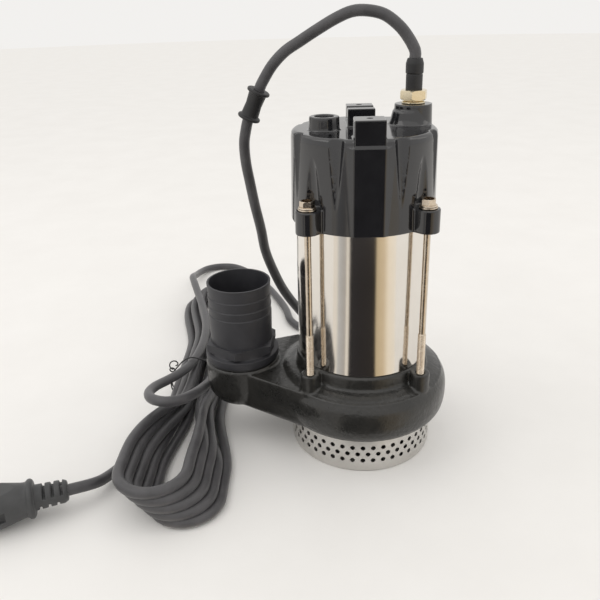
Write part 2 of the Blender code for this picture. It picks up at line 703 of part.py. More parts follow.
def cord_bobbin(mat):
    """Rubber spool moulded on the cord, with a flange at each end."""
    top = Vector(ARCH_ROUTE[-1])
    bottom = Vector(FALL_ROUTE[0])
    along = (bottom - top).normalized()
    length = (bottom - top).length - 4 * GAP
    bm = turned([
        (0, 0), (11, 0), (11, 3), (7.9, 4), (7.6, length / 2), (7.9, length - 4), (11, length - 3),
        (11, length), (0, length),
    ], SMALL)
    turn = along.to_track_quat("Z", "X").to_euler()
    place("cord_bobbin", bm, mat, top + along * 2 * GAP, turn)


def smoothstep(value):
    value = min(1.0, max(0.0, value))
    return value * value * (3 - 2 * value)


def hank_section(y):
    """Half width, bottom and top of the hank at a station along it."""
    from_front = smoothstep((y - HANK_FRONT - HANK_FRONT_CURVE) / HANK_BLEND)
    from_back = smoothstep((HANK_BACK - HANK_BACK_HALF - y) / HANK_BACK_BLEND)
    half = HANK_WAIST_HALF + (HANK_FRONT_HALF - HANK_WAIST_HALF) * (1 - from_front)
    half += (HANK_BACK_HALF - HANK_WAIST_HALF) * (1 - from_back)
    front_end = max(0.0, 1 - (y - HANK_FRONT) / HANK_FRONT_HALF)
    back_end = max(0.0, 1 - (HANK_BACK - y) / HANK_BACK_HALF)
    half *= math.sqrt(1 - max(front_end, back_end) ** 2)
    top = HANK_STACK - (HANK_STACK - HANK_LAYERS) * smoothstep((y - HANK_FALL_Y) / HANK_FALL)
    low = HANK_LIFT if abs(y - TIE_Y) <= TIE_REACH + 0.01 else 0.0
    return half, low, top


def hank(mat):
    """The tied hank as one solid: cross-sections with rounded corners, joined along it."""
    steps = 22
    length = HANK_BACK - HANK_FRONT - 3
    stations = [HANK_FRONT + 1.5 + length * (0.5 - 0.5 * math.cos(math.pi * i / steps)) for i in range(steps + 1)]
    stations = [y for y in stations if abs(y - TIE_Y) > TIE_REACH + 8]
    stations = sorted(stations + [TIE_Y + TIE_REACH * side for side in (-2, -1, 1, 2)])
    bm = bmesh.new()
    rings = []
    for y in stations:
        half, low, high = hank_section(y)
        left = HANK_X - half
        right = HANK_X + half
        corner = min(5.0, (right - left) / 3)
        outline = [
            (left, low + corner), (left + corner, low), (right - corner, low), (right, low + corner),
            (right, high - corner), (right - corner, high), (left + corner, high), (left, high - corner),
        ]
        rings.append([bm.verts.new((x, y, z)) for x, z in outline])
    for ring, following in zip(rings, rings[1:]):
        for i in range(8):
            j = (i + 1) % 8
            bm.faces.new((ring[i], ring[j], following[j], following[i]))
    bm.faces.new(rings[0][::-1])
    bm.faces.new(rings[-1])
    bmesh.ops.triangulate(bm, faces=bm.faces)
    place("cord_hank", bm, mat)


def twist_tie(mat):
    """Wire tie round the hank's waist and the strand that lies on it."""
    half, _, high = hank_section(TIE_Y)
    left = HANK_X - half
    right = HANK_X + half
    route = [
        (left - 2.2, 12), (left - 2.2, 20), (left - 2, high - 2), (left + 6, high + 6), (left + 18, high + 12.5),
        (left + 28, high + 14.5), (left + 38, high + 11.5), (right - 14, high + 3.5), (right - 3, high + 1),
        (right + 2.2, high - 6), (right + 2.2, 14), (right + 0.8, 5), (right - 5, 1), (left + 5, 1),
        (left - 0.8, 5),
    ]
    curve = bpy.data.curves.new("twist_tie", "CURVE")
    curve.dimensions = "3D"
    curve.bevel_depth = 0.9 * MM
    curve.bevel_resolution = 1
    spline = curve.splines.new("POLY")
    spline.points.add(len(route) - 1)
    for target, (x, z) in zip(spline.points, route):
        target.co = (x * MM, TIE_Y * MM, z * MM, 1.0)
    spline.use_cyclic_u = True
    obj = bpy.data.objects.new("twist_tie", curve)
    curve.materials.append(mat)
    bpy.context.collection.objects.link(obj)


def plug(rubber, nickel):
    """Two-pin plug with a ribbed strain relief, lying on the floor."""
    along = Vector((math.cos(PLUG_HEADING), math.sin(PLUG_HEADING), 0))
    start = Vector(LEAD_ROUTE[-1]) + along * 2 * GAP
    start.z = PLUG_Z
    turn = along.to_track_quat("Z", "Y").to_euler()
    relief = [(0, 0), (8.5, 0)]
    for rib in range(4):
        at = 7.0 * rib
        relief += [(9.6 + 0.35 * rib, at + 1), (9.8 + 0.35 * rib, at + 5), (8.0, at + 6)]
    bm = turned(relief + [
        (17, 28.5), (17.4, 31), (16.5, 33), (14.5, 34), (16, 44), (19, 56), (19.8, 62), (19.8, 72), (0, 72),
    ], 24)
    for side in (-1, 1):
        slot = box(-5, 5, 15.5, 25, 56, 80)
        if side < 0:
            bmesh.ops.rotate(slot, verts=slot.verts, matrix=Matrix.Rotation(math.pi, 3, "Z"))
        bm = cut(bm, slot)
    place("plug", bm, rubber, start, turn)
    across = Vector((-along.y, along.x, 0))
    pin = turned([(0, 72.3), (2.4, 72.3), (2.4, 89.5), (1.2, 91), (0, 91)], 12)
    for name, side in (("plug_pin_a", -1), ("plug_pin_b", 1)):
        place(name, pin.copy(), nickel, start + across * (9.5 * side), turn)
    pin.free()


def build():
    clear_scene()
    cast_iron = material("cast iron paint", (0.012, 0.012, 0.012), 0.3)
    cap_paint = material("gloss black", (0.008, 0.008, 0.009), 0.12)
    stainless = material("stainless", (0.72, 0.70, 0.66), 0.22, 1.0)
    satin = material("satin stainless", (0.62, 0.60, 0.57), 0.35, 1.0)
    steel = material("bearing steel", (0.55, 0.55, 0.56), 0.25, 1.0)
    iron = material("laminated iron", (0.25, 0.25, 0.27), 0.5, 1.0)
    aluminium = material("aluminium casting", (0.6, 0.6, 0.62), 0.5, 1.0)
    copper = material("varnished copper", (0.55, 0.2, 0.08), 0.35, 0.8)
    brass = material("pale brass", (0.78, 0.66, 0.42), 0.25, 1.0)
    plastic = material("matte plastic", (0.02, 0.02, 0.022), 0.55)
    rubber = material("grey rubber", (0.035, 0.035, 0.038), 0.6)
    black_rubber = material("black rubber", (0.012, 0.012, 0.012), 0.6)
    ceramic = material("ceramic", (0.85, 0.82, 0.75), 0.3)
    white = material("capacitor case", (0.8, 0.8, 0.78), 0.4)

    rotor = bpy.data.objects.new("rotor_axis", None)
    bpy.context.collection.objects.link(rotor)

    strainer(satin)
    suction_cover(cast_iron)
    strainer_screws(stainless)
    volute_casing(cast_iron)
    impeller(cast_iron, rotor)
    impeller_nut(stainless, rotor)
    mechanical_seal(ceramic, steel, rotor)
    bearing_bracket(aluminium)
    o_ring("o_ring_lower", 58.0, 104.0, black_rubber)
    o_ring("o_ring_upper", 58.0, 227.5, black_rubber)
    bearing("lower_bearing", SHAFT_R, LOWER_RACE_R, 94.3, 13.4, steel, rotor)
    bearing("upper_bearing", UPPER_SHAFT_R, UPPER_RACE_R, 222.2, 12.0, steel, rotor)
    shaft(stainless, rotor)
    rotor_core(iron, rotor)
    stator(iron, copper)
    motor_barrel(stainless)
    upper_bracket(aluminium)
    top_cap(cap_paint)
    vent_plug(cap_paint)
    capacitor(white)
    tie_bolts(stainless)
    outlet_gasket(black_rubber)
    hose_connector(plastic)
    gland(brass, black_rubber)
    cord("cord_arch", ARCH_ROUTE, rubber)
    cord_bobbin(black_rubber)
    cord("cord_fall", FALL_ROUTE, rubber)
    hank(rubber)
    twist_tie(black_rubber)
    cord("cord_lead", LEAD_ROUTE, rubber)
    plug(rubber, stainless)


build()
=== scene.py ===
"""Looks of the submersible sump pump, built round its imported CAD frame.

Positions and sizes are in millimetres in the frame's axes, and MM turns them into metres.
"""
import math

import bmesh
import bpy
from mathutils import Matrix, Vector


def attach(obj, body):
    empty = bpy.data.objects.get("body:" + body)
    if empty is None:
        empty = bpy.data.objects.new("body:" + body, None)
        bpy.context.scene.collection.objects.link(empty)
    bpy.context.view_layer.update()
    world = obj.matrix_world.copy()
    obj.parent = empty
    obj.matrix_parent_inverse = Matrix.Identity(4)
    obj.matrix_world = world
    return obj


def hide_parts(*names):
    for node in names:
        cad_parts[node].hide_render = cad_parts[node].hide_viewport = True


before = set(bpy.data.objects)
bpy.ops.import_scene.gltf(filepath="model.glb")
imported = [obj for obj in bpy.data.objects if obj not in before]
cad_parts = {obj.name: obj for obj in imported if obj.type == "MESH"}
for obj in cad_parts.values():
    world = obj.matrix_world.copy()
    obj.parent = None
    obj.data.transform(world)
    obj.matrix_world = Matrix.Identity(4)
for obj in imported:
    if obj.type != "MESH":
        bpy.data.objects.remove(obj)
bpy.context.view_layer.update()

MM = 0.001

# View and stage, in metres
CAMERA_PLACE = (-0.0486, -0.5883, 0.4219)
CAMERA_YAW = 1.63
CAMERA_PITCH = -21.47
CAMERA_ROLL = -1.57
FLOOR_RADIUS = 9.0
# The card these values place carries a painted reflection of the room round the table.
CARD_NEAR = 0.12            # the reflected room starts and ends this far in front of the axis
CARD_FAR = 3.6
CARD_SLOPE = 1.25           # half width of the card over its distance
CARD_LIFT = 0.0015

# Pump
POST_PLACES = [(48.0, 30), (48.0, 150), (48.0, 270)]
BOLT_PLACES = [(73.0, 45), (73.0, 135), (73.0, 225), (73.0, 315)]
OUTLET = (-122.0, 13.0)
GLAND = (45.5, 15)
VENT = (-35.5, -11)
VOLUTE_R = 85.6
COLLAR_TOP = 100.0
NECK_TOP = 81.0
CAP_BOTTOM = 238.0
CAP_SHOULDER = 314.0
CAP_TOP = 320.0
EAR_TOP = 259.0
EAR_R = 10.5
LUG_TOP = 336.0
GLAND_TOP = 337.5
VENT_TOP = 332.0
BOLT_HOLE_R = 4.2

# Cord and hank
CORD_R = 5.2
LOWEST_Z = 5.4              # height of the strands that lie on the floor
PITCH = 10.6                # strand to strand in the hank
HANK_X = -180.0
FRONT_Y = -111.0            # centres of the front and back bends
BACK_Y = 294.0
FRONT_R = 31.2
BACK_R = 31.0
WAIST = 7.6                 # half distance of the inner strands at the tie
LEAN = 7.0                  # sideways step of each front bend from the one below
TURNS = 5
LEFT_BEDS = (0, 1, 0, 1, 0)     # columns out from the middle that the strands take at the tie, lowest first
RIGHT_BEDS = (2, 0, 1, 0, 1)
BACK_LAYERS = (0, 0, 1, 1, 2)   # layers of the back bends, lowest first
FRONT_WIDE_TO = -80.5       # where the strands start to close up behind the front bends, and over what length
FRONT_NARROWING = 110.0
BACK_NARROWING = 130.0
BEDDING_FROM = -95.0        # where the strands start to settle into their beds
BEDDING_LENGTH = 150.0
TIE_Y = 75.0
CORD_STEP = 3.5
PLUG_HEADING = math.radians(200.0)
PLUG_Z = 20.5

# The cord's route where it isn't wound, the same as in the CAD source
ARCH_ROUTE = [
    (45.5, 15, 376.8), (45.2, 15.3, 383), (39, 17, 394), (30.5, 18.5, 404), (18, 20, 413),
    (3.5, 22, 416.5), (-10, 23.5, 416), (-25, 25, 410), (-42, 27, 400.5), (-56, 29, 392),
    (-69.5, 31, 383.5), (-81.5, 33, 371.5), (-91, 34.5, 357), (-94.3, 35.2, 350.3),
]
FALL_ROUTE = [
    (-106.2, 37.8, 322.8), (-109, 39, 313), (-111.6, 42, 299), (-111.4, 46, 280), (-109, 51, 259),
    (-105.5, 56, 233), (-101, 63, 205), (-98, 71, 178), (-91, 79, 152), (-81, 89, 124),
    (-67, 100, 97), (-47, 111, 66), (-24, 123, 36), (4, 137, 14), (33, 156, 6), (50, 186, 5.3),
    (38, 218, 5.3), (8, 230, 5.3), (-28, 224, 5.3), (-60, 224, 5.3), (-79, 247, 5.3),
    (-89, 290, 5.3), (-110, 348, 5.3), (-137, 405, 5.3), (-160, 438, 5.3), (-183, 458, 5.3),
    (-207, 460, 5.5), (-225, 448, 7), (-234, 426, 10), (-237, 398, 16), (-235.5, 369, 26),
    (-231.5, 339, 35.8), (-224, 310, 38.6), (-215, 280, 38.3), (-203, 240, 38.2), (-192, 198, 38),
    (-185, 157, 38), (-184, 115, 37.8), (-189, 77, 38), (-198, 50, 40.5), (-208, 28, 44.5),
    (-216, 6, 50.5), (-217.5, -15, 56), (-210, -33, 60.5), (-195, -42, 63), (-180, -38, 62.5),
    (-169.5, -22, 59), (-165, -1, 52), (-162, 22, 44.5), (-160.8, 44, 39.4), (-160, 62, 37.5),
]
LEAD_ROUTE = [
    (-230, -32, 5.3), (-233.5, -50, 5.6), (-238.5, -69, 7), (-245, -87, 10.5), (-252, -103, 16),
    (-260.5, -113.5, 20.3), (-271, -117.5, 20.5),
]


# Camera, light and floor

def make_camera():
    """Front view from above, with its centre a little off the axis."""
    data = bpy.data.cameras.new("camera")
    data.sensor_width = 36.0
    data.lens = 39.27
    data.shift_x = 0.0097
    data.shift_y = -0.0615
    camera = bpy.data.objects.new("camera", data)
    yaw = Matrix.Rotation(math.radians(CAMERA_YAW), 4, "Z")
    pitch = Matrix.Rotation(math.radians(90 + CAMERA_PITCH), 4, "X")
    roll = Matrix.Rotation(math.radians(CAMERA_ROLL), 4, "Z")
    camera.matrix_world = Matrix.Translation(CAMERA_PLACE) @ yaw @ pitch @ roll
    bpy.context.scene.collection.objects.link(camera)
    bpy.context.scene.camera = camera


def area_light(name, place, target, size, watts, color):
    data = bpy.data.lights.new(name, "AREA")
    data.shape = "RECTANGLE"
    data.size, data.size_y = size
    data.energy = watts
    data.color = color
    light = bpy.data.objects.new(name, data)
    light.location = place
    light.rotation_euler = (Vector(target) - Vector(place)).to_track_quat("-Z", "Y").to_euler()
    bpy.context.scene.collection.objects.link(light)


def sun_light(name, energy, spread_degrees, tilt, color):
    data = bpy.data.lights.new(name, "SUN")
    data.energy = energy
    data.angle = math.radians(spread_degrees)
    data.color = color
    light = bpy.data.objects.new(name, data)
    light.rotation_euler = (math.radians(tilt[0]), math.radians(tilt[1]), 0)
    bpy.context.scene.collection.objects.link(light)


def make_light():
    """Even pale surroundings, two soft panels and a very wide light from above."""
    world = bpy.data.worlds.new("studio")
    world.use_nodes = True
    background = world.node_tree.nodes["Background"]
    background.inputs["Color"].default_value = (1.0, 0.985, 0.965, 1)
    background.inputs["Strength"].default_value = 0.89
    bpy.context.scene.world = world
    bpy.context.scene.view_settings.view_transform = "Standard"
    area_light("soft_left", (-1.3, -0.3, 1.5), (0, 0, 0.15), (1.2, 1.2), 3.6, (1.0, 0.98, 0.95))
    area_light("soft_right", (1.5, 0.2, 1.2), (0, 0, 0.2), (0.8, 1.4), 2.0, (1.0, 0.96, 0.9))
    sun_light("overhead", 0.5, 110, (8, -10), (1.0, 0.985, 0.965))


def make_floor():
    bm = bmesh.new()
    bmesh.ops.create_circle(bm, cap_ends=True, segments=96, radius=FLOOR_RADIUS)
    mesh = bpy.data.meshes.new("floor")
    bm.to_mesh(mesh)
    bm.free()
    floor = bpy.data.objects.new("floor", mesh)
    floor.data.materials.append(material(
        "floor_paper", (0.815, 0.803, 0.783), (0.84, 0.829, 0.81), rough=(0.75, 0.85), grain=9, fine=700,
        depth=0.00004, strength=0.15, Specular_IOR_Level=0.0,
    ))
    bpy.context.scene.collection.objects.link(floor)
    return floor


def painted_reflection_tones():
    """Glowing material that paints a reflection of the room: its tone depends on the direction from the pump,
    pale, dim, pale again.
    """
    mat = bpy.data.materials.new("painted_reflection_card")
    mat.use_nodes = True
    nodes, links = mat.node_tree.nodes, mat.node_tree.links
    nodes.clear()
    spot = nodes.new("ShaderNodeTexCoord")
    parts = nodes.new("ShaderNodeSeparateXYZ")
    slope = nodes.new("ShaderNodeMath")
    slope.operation = "DIVIDE"
    shift = nodes.new("ShaderNodeMapRange")
    shift.inputs["From Min"].default_value = CARD_SLOPE
    shift.inputs["From Max"].default_value = -CARD_SLOPE
    ramp = nodes.new("ShaderNodeValToRGB")
    glow = nodes.new("ShaderNodeEmission")
    out = nodes.new("ShaderNodeOutputMaterial")
    links.new(spot.outputs["Object"], parts.inputs[0])
    links.new(parts.outputs["X"], slope.inputs[0])
    links.new(parts.outputs["Y"], slope.inputs[1])
    links.new(slope.outputs[0], shift.inputs["Value"])
    links.new(shift.outputs[0], ramp.inputs[0])
    links.new(ramp.outputs[0], glow.inputs["Color"])
    links.new(glow.outputs[0], out.inputs["Surface"])
    # Painted reflection: these glowing pale, dim and near-black bands stand in for the room that the barrel
    # and the cap mirror.
    fill_ramp(ramp, [
        (0.0, (0.88, 0.82, 0.74)), (0.10, (0.88, 0.82, 0.74)), (0.15, (0.55, 0.55, 0.55)),
        (0.27, (0.46, 0.43, 0.40)), (0.28, (0.90, 0.84, 0.75)), (0.315, (0.85, 0.79, 0.71)),
        (0.325, (0.030, 0.028, 0.030)), (0.62, (0.034, 0.030, 0.028)), (0.64, (0.62, 0.50, 0.32)),
        (0.74, (0.72, 0.58, 0.40)), (0.82, (0.95, 0.85, 0.70)), (1.0, (0.95, 0.88, 0.78)),
    ])
    return mat


def make_stage():
    """Pale floor, and a glowing card that only reflections see: a painted reflection of the dim room in front
    of the table.
    """
    floor = make_floor()
    mesh = bpy.data.meshes.new("painted_reflection_card")
    near_half, far_half = CARD_NEAR * CARD_SLOPE, CARD_FAR * CARD_SLOPE
    mesh.from_pydata(
        [(-near_half, -CARD_NEAR, CARD_LIFT), (near_half, -CARD_NEAR, CARD_LIFT),
         (far_half, -CARD_FAR, CARD_LIFT), (-far_half, -CARD_FAR, CARD_LIFT)], [], [(0, 3, 2, 1)],
    )
    card = bpy.data.objects.new("painted_reflection_card", mesh)
    card.data.materials.append(painted_reflection_tones())
    bpy.context.scene.collection.objects.link(card)
    # The card glows but lights nothing: only glossy rays see it, so its tones are a painted reflection.
    card.visible_camera = False
    card.visible_diffuse = False
    card.visible_shadow = False
    card.visible_transmission = False


# Materials

def fill_ramp(ramp, stops):
    elements = ramp.color_ramp.elements
    while len(elements) > 1:
        elements.remove(elements[-1])
    elements[0].position = stops[0][0]
    elements[0].color = (*stops[0][1], 1)
    for at, color in stops[1:]:
        elements.new(at).color = (*color, 1)


def noise(nodes, links, coords, scale, detail=3.0, rough=0.5):
    texture = nodes.new("ShaderNodeTexNoise")
    texture.inputs["Scale"].default_value = scale
    texture.inputs["Detail"].default_value = detail
    texture.inputs["Roughness"].default_value = rough
    links.new(coords, texture.inputs["Vector"])
    return texture.outputs["Fac"]


def scaled(nodes, links, value, low, high, from_low=0.3, from_high=0.7):
    node = nodes.new("ShaderNodeMapRange")
    node.inputs["From Min"].default_value = from_low
    node.inputs["From Max"].default_value = from_high
    node.inputs["To Min"].default_value = low
    node.inputs["To Max"].default_value = high
    links.new(value, node.inputs["Value"])
    return node.outputs["Result"]


def material(name, dark, light, rough, metallic=0.0, grain=40, fine=600, stretch=(1, 1, 1), depth=0.0001,
             strength=0.3, coarse=None, dust=None, **constants):
    """A surface whose colour and roughness wander with one noise and whose bump follows a finer one.

    Stretch turns the fine noise into brushing, coarse adds a wide unevenness to the bump, and dust
    is a pale colour that settles in specks. The other keywords are the shader's own constants.
    """
    mat = bpy.data.materials.new(name)
    mat.use_nodes = True
    nodes, links = mat.node_tree.nodes, mat.node_tree.links
    shader = nodes["Principled BSDF"]
    shader.inputs["Metallic"].default_value = metallic
    for socket, value in constants.items():
        shader.inputs[socket.replace("_", " ")].default_value = value
    place = nodes.new("ShaderNodeTexCoord").outputs["Object"]
    mapping = nodes.new("ShaderNodeMapping")
    mapping.inputs["Scale"].default_value = stretch
    links.new(place, mapping.inputs["Vector"])
    brushed = mapping.outputs["Vector"]
    wander = noise(nodes, links, place, grain, 4.0, 0.6)
    tooth = noise(nodes, links, brushed, fine, 2.0, 0.55)
    blend = nodes.new("ShaderNodeMix")
    blend.data_type = "RGBA"
    blend.inputs["A"].default_value = (*dark, 1)
    blend.inputs["B"].default_value = (*light, 1)
    links.new(scaled(nodes, links, wander, 0, 1), blend.inputs["Factor"])
    color = blend.outputs["Result"]
    if dust:
        specks = noise(nodes, links, place, 900, 2.0, 0.7)
        settle = nodes.new("ShaderNodeMix")
        settle.data_type = "RGBA"
        settle.inputs["B"].default_value = (*dust, 1)
        links.new(color, settle.inputs["A"])
        links.new(scaled(nodes, links, specks, 0, 0.5, 0.66, 0.78), settle.inputs["Factor"])
        color = settle.outputs["Result"]
    links.new(color, shader.inputs["Base Color"])
    mixed = nodes.new("ShaderNodeMath")
    mixed.operation = "MULTIPLY_ADD"
    links.new(tooth, mixed.inputs[0])
    mixed.inputs[1].default_value = 0.5
    half = nodes.new("ShaderNodeMath")
    half.operation = "MULTIPLY"
    links.new(wander, half.inputs[0])
    half.inputs[1].default_value = 0.5
    links.new(half.outputs[0], mixed.inputs[2])
    links.new(scaled(nodes, links, mixed.outputs[0], rough[0], rough[1]), shader.inputs["Roughness"])
    bump = nodes.new("ShaderNodeBump")
    bump.inputs["Strength"].default_value = strength
    bump.inputs["Distance"].default_value = depth
    links.new(tooth, bump.inputs["Height"])
    if coarse:
        wide = nodes.new("ShaderNodeBump")
        wide.inputs["Strength"].default_value = coarse[1]
        wide.inputs["Distance"].default_value = coarse[2]
        links.new(noise(nodes, links, place, coarse[0], 2.0, 0.5), wide.inputs["Height"])
        links.new(wide.outputs[0], bump.inputs["Normal"])
    links.new(bump.outputs[0], shader.inputs["Normal"])
    return mat


def make_materials():
    around = (0.02, 0.02, 1.0)          # stretches noise into hoops round the vertical axis
    return {
        "paint": material(
            "casting_paint", (0.013, 0.013, 0.012), (0.024, 0.023, 0.021), (0.24, 0.38), fine=300,
            depth=0.0008, strength=0.5, coarse=(120, 0.4, 0.0015), dust=(0.06, 0.057, 0.052), Coat_Weight=0.2,
            Coat_Roughness=0.15,
        ),
        "gloss": material(
            "cap_enamel", (0.009, 0.009, 0.0105), (0.0135, 0.0135, 0.0155), (0.07, 0.14), fine=260,
            depth=0.0002, strength=0.10, coarse=(45, 0.10, 0.0006), dust=(0.05, 0.05, 0.05), IOR=1.7,
        ),
        "barrel": material(
            "polished_barrel", (0.74, 0.705, 0.65), (0.82, 0.785, 0.735), (0.08, 0.16), 1.0, grain=14,
            fine=3200, stretch=around, depth=0.00003, strength=0.30,
        ),
        "satin": material(
            "satin_sheet", (0.60, 0.585, 0.56), (0.69, 0.675, 0.65), (0.30, 0.42), 1.0, grain=35,
            fine=2600, stretch=around, depth=0.00004, strength=0.3,
        ),
        "bolt": material(
            "bolt_steel", (0.56, 0.47, 0.37), (0.68, 0.60, 0.50), (0.18, 0.32), 1.0, grain=120,
            fine=1500, depth=0.00005, strength=0.25,
        ),
        "steel": material(
            "ground_steel", (0.50, 0.50, 0.51), (0.60, 0.60, 0.61), (0.2, 0.32), 1.0, grain=80,
            fine=2500, stretch=around, depth=0.00003, strength=0.25,
        ),
        "brass": material(
            "pale_brass", (0.74, 0.63, 0.43), (0.84, 0.75, 0.56), (0.16, 0.28), 1.0, grain=90, fine=1800,
            depth=0.00004, strength=0.2,
        ),
        "plastic": material(
            "moulded_plastic", (0.022, 0.022, 0.026), (0.030, 0.030, 0.035), (0.42, 0.55), grain=60,
            fine=1600, depth=0.00008, strength=0.22, dust=(0.07, 0.07, 0.075),
        ),
        "cord": material(
            "cord_rubber", (0.044, 0.043, 0.046), (0.072, 0.070, 0.074), (0.36, 0.52), grain=55, fine=1100,
            depth=0.00010, strength=0.28, coarse=(160, 0.25, 0.0006), dust=(0.09, 0.09, 0.09),
            Sheen_Weight=0.12,
        ),
        "plug": material(
            "plug_rubber", (0.036, 0.037, 0.038), (0.052, 0.053, 0.054), (0.48, 0.6), grain=70, fine=1300,
            depth=0.00010, strength=0.28, dust=(0.1, 0.1, 0.1), Sheen_Weight=0.1,
        ),
        "rubber": material(
            "black_rubber", (0.009, 0.009, 0.010), (0.018, 0.018, 0.019), (0.42, 0.58), grain=70, fine=1200,
            depth=0.00008, strength=0.25, dust=(0.05, 0.05, 0.05),
        ),
        "iron": material(
            "impeller_iron", (0.10, 0.098, 0.095), (0.19, 0.185, 0.18), (0.45, 0.62), 0.7, fine=700,
            depth=0.0003, strength=0.4, coarse=(120, 0.3, 0.0008),
        ),
        "laminated": material(
            "laminations", (0.18, 0.18, 0.19), (0.32, 0.32, 0.33), (0.38, 0.55), 1.0, fine=1500,
            stretch=around, depth=0.0002, strength=0.6,
        ),
        "aluminium": material(
            "cast_aluminium", (0.50, 0.50, 0.51), (0.64, 0.64, 0.65), (0.42, 0.58), 1.0, fine=800,
            depth=0.0002, strength=0.35, coarse=(140, 0.3, 0.0006),
        ),
        "copper": material(
            "varnished_windings", (0.40, 0.13, 0.045), (0.60, 0.24, 0.09), (0.28, 0.42), 0.85, fine=800,
            stretch=around, depth=0.0004, strength=0.7, Coat_Weight=0.4,
        ),
        "ceramic": material(
            "seal_ceramic", (0.76, 0.70, 0.60), (0.86, 0.81, 0.72), (0.2, 0.35), grain=120, fine=1500,
            depth=0.00004, strength=0.2,
        ),
        "case": material(
            "capacitor_case", (0.66, 0.66, 0.64), (0.76, 0.76, 0.74), (0.35, 0.45), grain=50, fine=1200,
            depth=0.00006, strength=0.2,
        ),
    }


# Mesh tools, in millimetres

def add_piece(name, bm, mat, nodes=(), location=(0, 0, 0), rotation=(0, 0, 0), body="housing",
              crease=32):
    """Turn a mesh in millimetres into a finished piece of the object."""
    bmesh.ops.remove_doubles(bm, verts=bm.verts, dist=0.0005)
    bmesh.ops.recalc_face_normals(bm, faces=bm.faces)
    bmesh.ops.scale(bm, vec=(MM, MM, MM), verts=bm.verts)
    mesh = bpy.data.meshes.new(name)
    bm.to_mesh(mesh)
    bm.free()
    mesh.materials.append(mat)
    mesh.shade_smooth()
    if crease:
        mesh.set_sharp_from_angle(angle=math.radians(crease))
    obj = bpy.data.objects.new(name, mesh)
    obj.location = Vector(location) * MM
    obj.rotation_euler = rotation
    bpy.context.scene.collection.objects.link(obj)
    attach(obj, body)
    if nodes:
        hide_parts(*nodes)
    return obj


def softened(profile, radius, steps=4):
    """A closed outline with each corner rounded, except where it touches the axis."""
    points = [Vector(p) for p in profile]
    out = []
    for before, here, after in zip(points[-1:] + points[:-1], points, points[1:] + points[:1]):
        if here.x < 0.001:
            out.append(here)
            continue
        back = before - here
        ahead = after - here
        if back.angle(ahead, math.pi) > math.radians(172):
            out.append(here)
            continue
        cut_back = min(radius, 0.45 * back.length, 0.45 * ahead.length)
        start = here + back.normalized() * cut_back
        end = here + ahead.normalized() * cut_back
        for i in range(steps + 1):
            t = i / steps
            out.append((1 - t) ** 2 * start + 2 * t * (1 - t) * here + t * t * end)
    return out


def turned(profile, sides, phase=0.0):
    """Solid of revolution of a closed (radius, z) outline about Z."""
    bm = bmesh.new()
    step = 2 * math.pi / sides
    rings = []
    for radius, z in profile:
        count = 1 if radius < 0.001 else sides
        ring = []
        for i in range(count):
            angle = phase + i * step
            ring.append(bm.verts.new((radius * math.cos(angle), radius * math.sin(angle), z)))
        rings.append(ring)
    for ring, following in zip(rings, rings[1:] + rings[:1]):
        for i in range(sides):
            j = (i + 1) % sides
            corners = [ring[i % len(ring)], ring[j % len(ring)]]
            corners += [following[j % len(following)], following[i % len(following)]]
            unique = list(dict.fromkeys(corners))
            if len(unique) > 2:
                bm.faces.new(unique)
    return bm


def disc(radius, bottom, top, sides=48):
    return turned([(0, bottom), (radius, bottom), (radius, top), (0, top)], sides)


def prism(outline, bottom, top):
    bm = bmesh.new()
    low = [bm.verts.new((x, y, bottom)) for x, y in outline]
    high = [bm.verts.new((x, y, top)) for x, y in outline]
    for i in range(len(outline)):
        j = (i + 1) % len(outline)
        bm.faces.new((low[i], low[j], high[j], high[i]))
    bm.faces.new(low[::-1])
    bm.faces.new(high)
    return bm


def box(x0, x1, y0, y1, z0, z1):
    return prism([(x0, y0), (x1, y0), (x1, y1), (x0, y1)], z0, z1)


def moved(bm, x=0.0, y=0.0, z=0.0):
    bmesh.ops.translate(bm, vec=(x, y, z), verts=bm.verts)
    return bm


def spun(bm, angle):
    bmesh.ops.rotate(bm, verts=bm.verts, matrix=Matrix.Rotation(angle, 3, "Z"))
    return bm


def as_object(bm, name="operand"):
    bmesh.ops.recalc_face_normals(bm, faces=bm.faces)
    mesh = bpy.data.meshes.new(name)
    bm.to_mesh(mesh)
    bm.free()
    obj = bpy.data.objects.new(name, mesh)
    bpy.context.scene.collection.objects.link(obj)
    return obj


def evaluated(obj):
    """The object's mesh with its modifiers applied; the object is removed."""
    seen = obj.evaluated_get(bpy.context.evaluated_depsgraph_get())
    result = bmesh.new()
    result.from_mesh(seen.to_mesh())
    seen.to_mesh_clear()
    bpy.data.objects.remove(obj, do_unlink=True)
    return result


def combine(bm, other, operation):
    first = as_object(bm)
    second = as_object(other)
    modifier = first.modifiers.new("cut", "BOOLEAN")
    modifier.object = second
    modifier.operation = operation
    modifier.solver = "EXACT"
    result = evaluated(first)
    bpy.data.objects.remove(second, do_unlink=True)
    bmesh.ops.remove_doubles(result, verts=result.verts, dist=0.003)
    bmesh.ops.dissolve_degenerate(result, edges=result.edges, dist=0.003)
    return result


def joined(bm, *others):
    for other in others:
        bm = combine(bm, other, "UNION")
    return bm


def cut(bm, *cutters):
    for cutter in cutters:
        bm = combine(bm, cutter, "DIFFERENCE")
    return bm


def cast(bm, voxel, rounds, factor=0.5):
    """Give a casting soft edges: an even mesh of small faces, smoothed a few times."""
    obj = as_object(bm, "casting")
    remesh = obj.modifiers.new("even", "REMESH")
    remesh.mode = "VOXEL"
    remesh.voxel_size = voxel
    smooth = obj.modifiers.new("soft", "SMOOTH")
    smooth.factor = factor
    smooth.iterations = rounds
    return evaluated(obj)


def polar(radius, degrees):
    angle = math.radians(degrees)
    return radius * math.cos(angle), radius * math.sin(angle)


